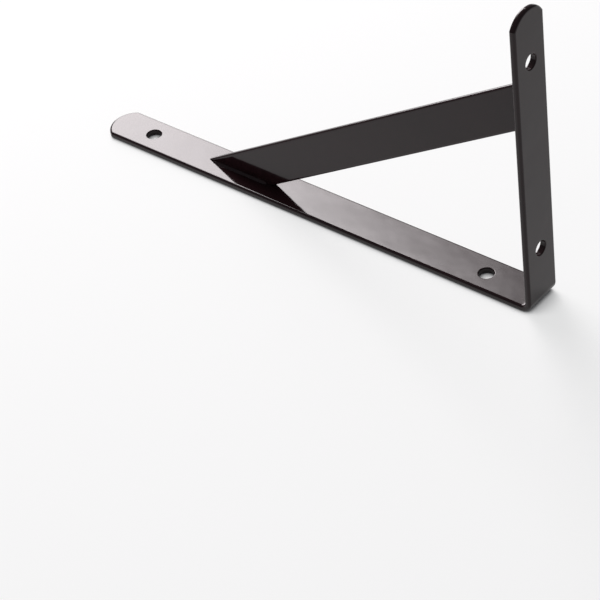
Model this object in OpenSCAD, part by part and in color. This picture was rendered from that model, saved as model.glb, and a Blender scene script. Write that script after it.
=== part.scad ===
// L-shaped shelf bracket: a bent flat bar, a flat-bar brace set on edge, and the weld beads between them.
// Millimetres, +Z up. X runs along the long arm, Y across the bar.
// The bracket stands on its long arm, with the short arm upright at +X.

/* [Bar] */
// Width of the flat bar
bar_w = 20; // [14:1:40]
// Thickness of the flat bar
bar_t = 3; // [2.5:0.5:6]
// Radius of the bar's long edges and tips
edge_r = 1.2; // [0.3:0.1:1.2]

/* [Arms] */
// Long arm, from the outer corner to its tip
long_arm = 250; // [200:5:400]
// Short arm, from the outer corner to its tip
short_arm = 150; // [130:5:300]
// Radius inside the bend
bend_r = 2; // [1:0.5:8]
// Radius of the arc across each tip, as a share of the bar's width
tip_share = 0.575; // [0.52:0.005:1]

/* [Screw holes] */
// Shank of the screws
screw_d = 6; // [3:0.5:8]
// Clearance of a hole over its screw, on diameter
screw_gap = 1; // [0.2:0.1:1.5]
// From the outer corner to each arm's first hole
corner_inset = 30; // [20:1:50]
// From each tip to its hole
tip_inset = 25; // [14:1:30]
// Softening radius of the hole rims
rim_r = 0.5; // [0.2:0.1:0.8]

/* [Brace] */
// From the outer corner to the brace's outer edge, along the long arm
brace_long_reach = 189; // [120:1:200]
// From the outer corner to the brace's outer edge, up the short arm
brace_short_reach = 115; // [80:1:118]

/* [Welds] */
// Leg of each weld bead
weld_leg = 1.5; // [1:0.25:4]

/* [Hidden] */
$fn = 48;
corner_x = long_arm / 2;
bend_out = bend_r + bar_t;
tip_r = bar_w * tip_share;
hole_d = screw_d + screw_gap;
// The arms' inner faces, which the brace stands on
inner_x = corner_x - bar_t;
inner_z = bar_t;
// The brace's outer edge runs between these two points
brace_low_x = corner_x - brace_long_reach;
brace_top_z = brace_short_reach;
brace_run = inner_x - brace_low_x;
brace_rise = brace_top_z - inner_z;
brace_angle = atan2(brace_rise, brace_run);
brace_len = norm([brace_run, brace_rise]);
// Length of the bar across its mitre, on each arm
foot_len = bar_w / sin(brace_angle);
head_len = bar_w / cos(brace_angle);
// The beads stay on the flat of the brace's face
foot_margin = edge_r / sin(brace_angle) + weld_leg / 2;
head_margin = edge_r / cos(brace_angle) + weld_leg / 2;
// Length added to a cutting shape past the face that it leaves
cut_over = 1;
enamel = [0.06, 0.056, 0.058];

// Cross-section of the bar: width along x, thickness from y = 0 upward, every corner rounded
module bar_section() {
    translate([-bar_w / 2, edge_r])
        square([bar_w, bar_t - 2 * edge_r]);
    translate([edge_r - bar_w / 2, 0])
        square([bar_w - 2 * edge_r, bar_t]);
    for (x = [edge_r - bar_w / 2, bar_w / 2 - edge_r], y = [edge_r, bar_t - edge_r])
        translate([x, y])
            circle(r = edge_r);
}

// Round plate with a rounded rim, whose arc shapes a tip
module tip_disc() {
    rotate_extrude() {
        square([tip_r - edge_r, bar_t]);
        translate([0, edge_r])
            square([tip_r, bar_t - 2 * edge_r]);
        for (y = [edge_r, bar_t - edge_r])
            translate([tip_r - edge_r, y])
                circle(r = edge_r);
    }
}

// Straight arm along +X from the end of the bend, lying on Z = 0, with its tip arc at x = len
module straight_arm(len) {
    intersection() {
        translate([bend_out, 0, 0])
            rotate([90, 0, 90])
                linear_extrude(height = len - bend_out)
                    bar_section();
        union() {
            translate([len - tip_r, 0, 0])
                tip_disc();
            translate([0, -bar_w, -cut_over])
                cube([len - tip_r, 2 * bar_w, bar_t + 2 * cut_over]);
        }
    }
}

// What a rounded rim takes away round a hole, at the face z = 0 of a plate that lies above it
module rim_cut() {
    translate([0, 0, -cut_over])
        cylinder(d = hole_d, h = cut_over);
    rotate_extrude()
        translate([hole_d / 2, 0])
            difference() {
                square([rim_r, rim_r]);
                translate([rim_r, rim_r])
                    circle(r = rim_r);
            }
}

// Hole through a bar that lies on z = 0, with both rims softened
module screw_hole() {
    cylinder(d = hole_d, h = bar_t);
    rim_cut();
    translate([0, 0, bar_t])
        mirror([0, 0, 1])
            rim_cut();
}

// One arm with its two holes, along +X from the outer corner
module drilled_arm(len) {
    difference() {
        straight_arm(len);
        for (x = [corner_inset, len - tip_inset])
            translate([x, 0, 0])
                screw_hole();
    }
}

// Quarter turn of the bar, from the long arm's end up to the short arm's
module bend() {
    translate([corner_x - bend_out, 0, bend_out])
        rotate([90, 0, 0])
            rotate([0, 0, -90])
                rotate_extrude(angle = 90)
                    translate([bend_out, 0])
                        rotate(90)
                            bar_section();
}

// Flat bar bent to an L, with two screw holes in each arm
module angle_bar() {
    color(enamel) {
        translate([corner_x, 0, 0])
            mirror([1, 0, 0])
                drilled_arm(long_arm);
        translate([corner_x, 0, 0])
            rotate([0, -90, 0])
                drilled_arm(short_arm);
        bend();
    }
}

// Flat bar on edge across the corner, its ends cut to lie flat on both arms
module brace() {
    color(enamel)
        intersection() {
            translate([brace_low_x, 0, inner_z])
                rotate([0, -brace_angle, 0])
                    translate([-bar_w, 0, -bar_w / 2])
                        rotate([90, 0, 90])
                            linear_extrude(height = brace_len + 2 * bar_w)
                                rotate(90)
                                    translate([0, -bar_t / 2])
                                        bar_section();
            translate([-corner_x, -bar_w, inner_z])
                cube([corner_x + inner_x, 2 * bar_w, short_arm]);
        }
}

// Bead of quarter-round section along +X, in the corner of the planes y = 0 and z = 0
module bead(len) {
    intersection() {
        union() {
            rotate([0, 90, 0])
                cylinder(r = weld_leg, h = len);
            for (x = [0, len])
                translate([x, 0, 0])
                    sphere(r = weld_leg);
        }
        translate([-2 * weld_leg, 0, 0])
            cube([len + 4 * weld_leg, 2 * weld_leg, 2 * weld_leg]);
    }
}

// The same bead on both faces of the brace
module bead_pair(len) {
    for (side = [0, 1])
        mirror([0, side, 0])
            translate([0, bar_t / 2, 0])
                bead(len);
}

// Beads at the brace's foot, on the long arm
module long_arm_weld() {
    color(enamel)
        translate([brace_low_x + foot_margin + weld_leg, 0, inner_z])
            bead_pair(foot_len - 2 * (foot_margin + weld_leg));
}

// Beads at the brace's head, on the short arm
module short_arm_weld() {
    color(enamel)
        translate([inner_x, 0, brace_top_z - head_margin - weld_leg])
            rotate([0, 90, 0])
                mirror([0, 0, 1])
                    bead_pair(head_len - 2 * (head_margin + weld_leg));
}

angle_bar();
brace();
long_arm_weld();
short_arm_weld();
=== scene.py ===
"""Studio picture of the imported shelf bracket: gloss enamel, weld beads, soft light, the photo's camera."""
import math

import bmesh
import bpy
from mathutils import Matrix, Vector, noise


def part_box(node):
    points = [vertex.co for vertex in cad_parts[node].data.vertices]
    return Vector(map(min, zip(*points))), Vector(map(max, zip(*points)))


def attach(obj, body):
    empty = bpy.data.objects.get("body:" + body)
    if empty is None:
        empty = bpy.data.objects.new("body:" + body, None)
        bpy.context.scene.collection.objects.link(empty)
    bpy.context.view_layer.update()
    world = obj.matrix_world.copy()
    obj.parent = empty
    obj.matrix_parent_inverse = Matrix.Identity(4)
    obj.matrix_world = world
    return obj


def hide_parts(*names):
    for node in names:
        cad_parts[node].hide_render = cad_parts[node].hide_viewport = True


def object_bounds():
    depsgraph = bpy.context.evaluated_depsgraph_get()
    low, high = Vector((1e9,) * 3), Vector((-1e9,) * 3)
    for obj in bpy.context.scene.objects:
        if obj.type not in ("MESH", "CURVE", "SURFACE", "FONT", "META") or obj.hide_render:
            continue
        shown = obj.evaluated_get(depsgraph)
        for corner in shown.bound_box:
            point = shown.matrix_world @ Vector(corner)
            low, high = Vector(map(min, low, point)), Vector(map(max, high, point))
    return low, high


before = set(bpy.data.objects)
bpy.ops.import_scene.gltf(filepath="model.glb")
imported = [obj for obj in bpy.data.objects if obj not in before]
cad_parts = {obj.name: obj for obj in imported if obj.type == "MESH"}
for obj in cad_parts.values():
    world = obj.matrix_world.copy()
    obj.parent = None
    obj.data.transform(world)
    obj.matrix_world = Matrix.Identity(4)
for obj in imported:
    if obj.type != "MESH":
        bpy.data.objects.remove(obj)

MM = 0.001
CAD_BOX = [list(corner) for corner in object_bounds()]

# Camera, fitted to the photograph's square frame
PHOTO_PX = 600
FOCAL_PX = 2383.3
SENSOR_MM = 36.0
AZIMUTH = math.radians(44.241)
ELEVATION = math.radians(40.07)
ROLL = math.radians(-7.958)
AIM = Vector((30.45, -50.82, -4.75)) * MM
DISTANCE = 1045.23 * MM

# Floor: its paint, and the share of plain white that the camera and mirrors see in it. That share is full
# where the floor is as open as CONTACT_OPEN, and none where the bracket leaves it at CONTACT_DARK or less,
# so a painted contact shadow from ambient occlusion darkens the floor close to the bracket.
FLOOR_SIDE = 8.0
FLOOR_DROP = 0.1 * MM
FLOOR_COLOUR = (0.90, 0.915, 0.91, 1)
FLOOR_WHITE = 0.7
CONTACT_REACH = 25 * MM
CONTACT_DARK, CONTACT_OPEN = 0.3, 0.75

# Lights, in metres; a fade lists places along a light, from its left end, with the level there.
# The softbox is centred where a level face mirrors the view, then moved left and down in its own plane.
SKY_COLOUR = (0.21, 0.215, 0.225, 1)
LIGHT_TINT = (1.0, 0.95, 0.965)
SOFTBOX_SIZE = (1.2, 0.605)
SOFTBOX_REACH = 1.5
SOFTBOX_TILT = math.radians(30)
SOFTBOX_LEFT = 0.4
SOFTBOX_DROP = 0.0975
SOFTBOX_STRENGTH = 16.5
SOFTBOX_FADE = ((0.0, 0.3), (0.45, 0.8), (0.6, 1.0), (0.795, 1.0), (1.0, 0.2))
PANEL_SIZE = (0.75, 0.62)
PANEL_REACH = 1.2
PANEL_STRENGTH = 7.0
PANEL_FADE = ((0.0, 1.0), (0.45, 1.0), (1.0, 0.2))

# Enamel: brown-black, with uneven gloss, broad waves and a fine orange peel; a noise is (scale, detail)
ENAMEL_DARK = (0.012, 0.005, 0.006, 1)
ENAMEL_LIGHT = (0.022, 0.009, 0.0105, 1)
ENAMEL_IOR = 1.33
TINT_NOISE = (22, 3)
GLOSS_NOISE = (90, 4)
SMOOTHEST, ROUGHEST = 0.05, 0.13
WAVE_NOISE = (55, 2)
WAVE_STRENGTH = 1.0
WAVE_DEPTH = 0.12 * MM
PEEL_NOISE = (260, 2)
PEEL_STRENGTH = 0.15
PEEL_DEPTH = 0.05 * MM

# Weld beads: shares are of the leg of the bead in the CAD
BEAD_RINGS = 150
BEAD_STEPS = 12
BEAD_SHARE = 0.72
RIPPLE_SHARE = 0.05
RIPPLE_PITCH = 1.7 * MM
LUMP_SHARE = 0.2
LUMP_PITCH = 4 * MM
BEAD_HOLLOW = 0.16
BEAD_END = 0.01 * MM
FOOT_SEED, HEAD_SEED = 2.3, 5.6


def level_right():
    """Level direction to the camera's right, before its roll."""
    return Vector((math.cos(AZIMUTH), math.sin(AZIMUTH), 0))


def camera_axes():
    """Right, up and back of the rolled camera."""
    back = Vector((
        math.sin(AZIMUTH) * math.cos(ELEVATION),
        -math.cos(AZIMUTH) * math.cos(ELEVATION),
        math.sin(ELEVATION),
    ))
    level = level_right()
    upright = back.cross(level)
    right = level * math.cos(ROLL) + upright * math.sin(ROLL)
    up = upright * math.cos(ROLL) - level * math.sin(ROLL)
    return right, up, back


def placed(right, up, back, at):
    """Matrix of an object whose local axes are right, up and back."""
    turn = Matrix((right, up, back)).transposed().to_4x4()
    return Matrix.Translation(at) @ turn


def add_object(name, data):
    """New object in the scene."""
    made = bpy.data.objects.new(name, data)
    bpy.context.scene.collection.objects.link(made)
    return made


def make_camera():
    """Camera that frames the bracket as the photograph does."""
    right, up, back = camera_axes()
    data = bpy.data.cameras.new("photo_camera")
    data.sensor_width = SENSOR_MM
    data.lens = FOCAL_PX * SENSOR_MM / PHOTO_PX
    camera = add_object("photo_camera", data)
    camera.matrix_world = placed(right, up, back, AIM + back * DISTANCE)
    bpy.context.scene.camera = camera


def new_material(name):
    """Material with nothing but its output node."""
    material = bpy.data.materials.new(name)
    material.use_nodes = True
    tree = material.node_tree
    tree.nodes.clear()
    output = tree.nodes.new("ShaderNodeOutputMaterial")
    return material, tree, output


def add_node(tree, kind, **values):
    """New shader node with the named inputs set."""
    node = tree.nodes.new(kind)
    for name, value in values.items():
        node.inputs[name.replace("_", " ")].default_value = value
    return node


def noise_level(tree, scale, detail):
    """Output of a noise that is fixed to the object."""
    where = tree.nodes.new("ShaderNodeTexCoord")
    level = add_node(tree, "ShaderNodeTexNoise", Scale=scale, Detail=detail)
    tree.links.new(where.outputs["Object"], level.inputs["Vector"])
    return level.outputs["Fac"]


def combined(tree, operation, first, second):
    """Output of a math node on two sockets."""
    node = tree.nodes.new("ShaderNodeMath")
    node.operation = operation
    tree.links.new(first, node.inputs[0])
    tree.links.new(second, node.inputs[1])
    return node.outputs["Value"]


def black_enamel():
    """Stoved gloss enamel."""
    material, tree, output = new_material("black_enamel")
    link = tree.links.new
    shader = add_node(tree, "ShaderNodeBsdfPrincipled", IOR=ENAMEL_IOR)

    tint = tree.nodes.new("ShaderNodeValToRGB")
    tint.color_ramp.elements[0].color = ENAMEL_DARK
    tint.color_ramp.elements[1].color = ENAMEL_LIGHT
    link(noise_level(tree, *TINT_NOISE), tint.inputs["Fac"])
    link(tint.outputs["Color"], shader.inputs["Base Color"])

    gloss = add_node(tree, "ShaderNodeMapRange", To_Min=SMOOTHEST, To_Max=ROUGHEST)
    link(noise_level(tree, *GLOSS_NOISE), gloss.inputs["Value"])
    link(gloss.outputs["Result"], shader.inputs["Roughness"])

    waves = add_node(tree, "ShaderNodeBump", Strength=WAVE_STRENGTH, Distance=WAVE_DEPTH)
    link(noise_level(tree, *WAVE_NOISE), waves.inputs["Height"])
    peel = add_node(tree, "ShaderNodeBump", Strength=PEEL_STRENGTH, Distance=PEEL_DEPTH)
    link(noise_level(tree, *PEEL_NOISE), peel.inputs["Height"])
    link(waves.outputs["Normal"], peel.inputs["Normal"])
    link(peel.outputs["Normal"], shader.inputs["Normal"])
    link(shader.outputs["BSDF"], output.inputs["Surface"])
    return material


def floor_material():
    """Pale paint that the camera and mirrors see partly as plain white, less so close to the bracket, where
    ambient occlusion paints a contact shadow.
    """
    material, tree, output = new_material("pale_floor")
    link = tree.links.new
    paint = add_node(tree, "ShaderNodeBsdfDiffuse", Color=FLOOR_COLOUR)
    white = add_node(tree, "ShaderNodeEmission", Strength=1.0)
    path = tree.nodes.new("ShaderNodeLightPath").outputs
    seen = combined(tree, "MAXIMUM", path["Is Camera Ray"], path["Is Glossy Ray"])
    seen = combined(tree, "MAXIMUM", seen, path["Is Transmission Ray"])
    # Painted shade: ambient occlusion takes the white away near the bracket, which makes a painted contact
    # shadow on the floor.
    openness = add_node(tree, "ShaderNodeAmbientOcclusion", Distance=CONTACT_REACH)
    whiteness = add_node(
        tree, "ShaderNodeMapRange", From_Min=CONTACT_DARK, From_Max=CONTACT_OPEN, To_Max=FLOOR_WHITE
    )
    link(openness.outputs["AO"], whiteness.inputs["Value"])
    mixed = tree.nodes.new("ShaderNodeMixShader")
    link(combined(tree, "MULTIPLY", seen, whiteness.outputs["Result"]), mixed.inputs["Fac"])
    link(paint.outputs["BSDF"], mixed.inputs[1])
    link(white.outputs["Emission"], mixed.inputs[2])
    link(mixed.outputs["Shader"], output.inputs["Surface"])
    return material


def fading_light(name, strength, levels):
    """Emission whose level changes along the light's local X."""
    material, tree, output = new_material(name)
    link = tree.links.new
    where = tree.nodes.new("ShaderNodeTexCoord")
    split = tree.nodes.new("ShaderNodeSeparateXYZ")
    link(where.outputs["Generated"], split.inputs["Vector"])
    fade = tree.nodes.new("ShaderNodeValToRGB")
    fade.color_ramp.interpolation = "EASE"
    stops = fade.color_ramp.elements
    stops.remove(stops[1])
    for place, level in levels:
        stop = stops[0] if place == 0 else stops.new(place)
        stop.position = place
        stop.color = [level * part for part in LIGHT_TINT] + [1]
    link(split.outputs["X"], fade.inputs["Fac"])
    light = add_node(tree, "ShaderNodeEmission", Strength=strength)
    link(fade.outputs["Color"], light.inputs["Color"])
    link(light.outputs["Emission"], output.inputs["Surface"])
    return material


def stage_plane(name, size, matrix, material):
    """Flat rectangle that belongs to the studio."""
    half_x, half_y = size[0] / 2, size[1] / 2
    corners = [(-half_x, -half_y, 0), (half_x, -half_y, 0), (half_x, half_y, 0), (-half_x, half_y, 0)]
    mesh = bpy.data.meshes.new(name)
    mesh.from_pydata(corners, [], [(0, 1, 2, 3)])
    mesh.materials.append(material)
    made = add_object(name, mesh)
    made.matrix_world = matrix
    return made


def make_softbox():
    """Light behind and above, whose right end the long arm's top face mirrors to the camera."""
    back = camera_axes()[2]
    toward = Vector((-back.x, -back.y, back.z))
    level = level_right()
    rise = level.cross(toward)
    along = level * math.cos(SOFTBOX_TILT) - rise * math.sin(SOFTBOX_TILT)
    across = rise * math.cos(SOFTBOX_TILT) + level * math.sin(SOFTBOX_TILT)
    centre = toward * SOFTBOX_REACH - along * SOFTBOX_LEFT - across * SOFTBOX_DROP
    light = fading_light("softbox_light", SOFTBOX_STRENGTH, SOFTBOX_FADE)
    softbox = stage_plane("softbox", SOFTBOX_SIZE, placed(along, across, -toward, centre), light)
    softbox.visible_camera = False


def make_back_panel(floor_z):
    """Low light behind, which the far edges and the inner bend mirror."""
    level = level_right()
    upward = Vector((0, 0, 1))
    behind = upward.cross(level)
    centre = behind * PANEL_REACH + upward * (floor_z + PANEL_SIZE[1] / 2)
    light = fading_light("panel_light", PANEL_STRENGTH, PANEL_FADE)
    panel = stage_plane("back_panel", PANEL_SIZE, placed(level, upward, -behind, centre), light)
    panel.visible_camera = False


def make_sky():
    """Even light from all round."""
    world = bpy.data.worlds.new("studio")
    world.use_nodes = True
    world.node_tree.nodes["Background"].inputs["Color"].default_value = SKY_COLOUR
    bpy.context.scene.world = world


def make_studio():
    """Floor just under the bracket, and all the light."""
    floor_z = CAD_BOX[0][2] - FLOOR_DROP
    stage_plane("floor", (FLOOR_SIDE, FLOOR_SIDE), Matrix.Translation((0, 0, floor_z)), floor_material())
    make_softbox()
    make_back_panel(floor_z)
    make_sky()


def bead_leg(at, length, leg, seed):
    """Leg of a bead at a distance along it: rippled, lumpy and rounded off at both ends."""
    ripple = RIPPLE_SHARE * math.sin(2 * math.pi * at / RIPPLE_PITCH)
    lumps = LUMP_SHARE * noise.noise(Vector((at / LUMP_PITCH, seed, 0)))
    inset = max(0.0, min(at, length - at, leg)) / leg
    rounding = math.sqrt(1 - (1 - inset) ** 2)
    return max(leg * min(1.0, BEAD_SHARE + ripple + lumps) * rounding, BEAD_END)


def add_bead(mesh, start, along, across, up, length, leg, seed):
    """Fillet bead from start, in the corner between two faces that across and up lie in."""
    rings = []
    for i in range(BEAD_RINGS + 1):
        at = length * i / BEAD_RINGS
        size = bead_leg(at, length, leg, seed)
        corner = start + along * at
        ring = [mesh.verts.new(corner)]
        for j in range(BEAD_STEPS + 1):
            turn = math.pi / 2 * j / BEAD_STEPS
            reach = size * (1 - BEAD_HOLLOW * math.sin(2 * turn))
            ring.append(mesh.verts.new(corner + (across * math.cos(turn) + up * math.sin(turn)) * reach))
        rings.append(ring)
    for near, far in zip(rings, rings[1:]):
        for j in range(len(near)):
            k = (j + 1) % len(near)
            mesh.faces.new((near[j], near[k], far[k], far[j]))
    mesh.faces.new(rings[0])
    mesh.faces.new(rings[-1])


def weld_piece(name, node, along, up, seed, material):
    """Both beads of one weld, in the box of the node that they replace."""
    low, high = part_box(node)
    length = (high - low).dot(along)
    leg = abs((high - low).dot(up))
    start_x = high.x if up.x < 0 else low.x
    mesh = bmesh.new()
    for side in (-1, 1):
        across = Vector((0, side, 0))
        start = Vector((start_x, side * (high.y - leg), low.z))
        add_bead(mesh, start, along, across, up, length, leg, seed * side)
    bmesh.ops.recalc_face_normals(mesh, faces=mesh.faces[:])
    data = bpy.data.meshes.new(name)
    mesh.to_mesh(data)
    mesh.free()
    data.polygons.foreach_set("use_smooth", [True] * len(data.polygons))
    data.materials.append(material)
    piece = add_object(name, data)
    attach(piece, "root")
    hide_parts(node)


def dress_bracket():
    """Enamel on the two bars, and uneven beads in place of the plain ones."""
    enamel = black_enamel()
    for name in ("angle_bar", "brace"):
        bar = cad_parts[name]
        bar.data.materials.clear()
        bar.data.materials.append(enamel)
    weld_piece("foot_weld", "long_arm_weld", Vector((1, 0, 0)), Vector((0, 0, 1)), FOOT_SEED, enamel)
    weld_piece("head_weld", "short_arm_weld", Vector((0, 0, 1)), Vector((-1, 0, 0)), HEAD_SEED, enamel)


make_camera()
make_studio()
dress_bracket()

bpy.context.scene.view_settings.view_transform = "Standard"
bpy.context.view_layer.update()
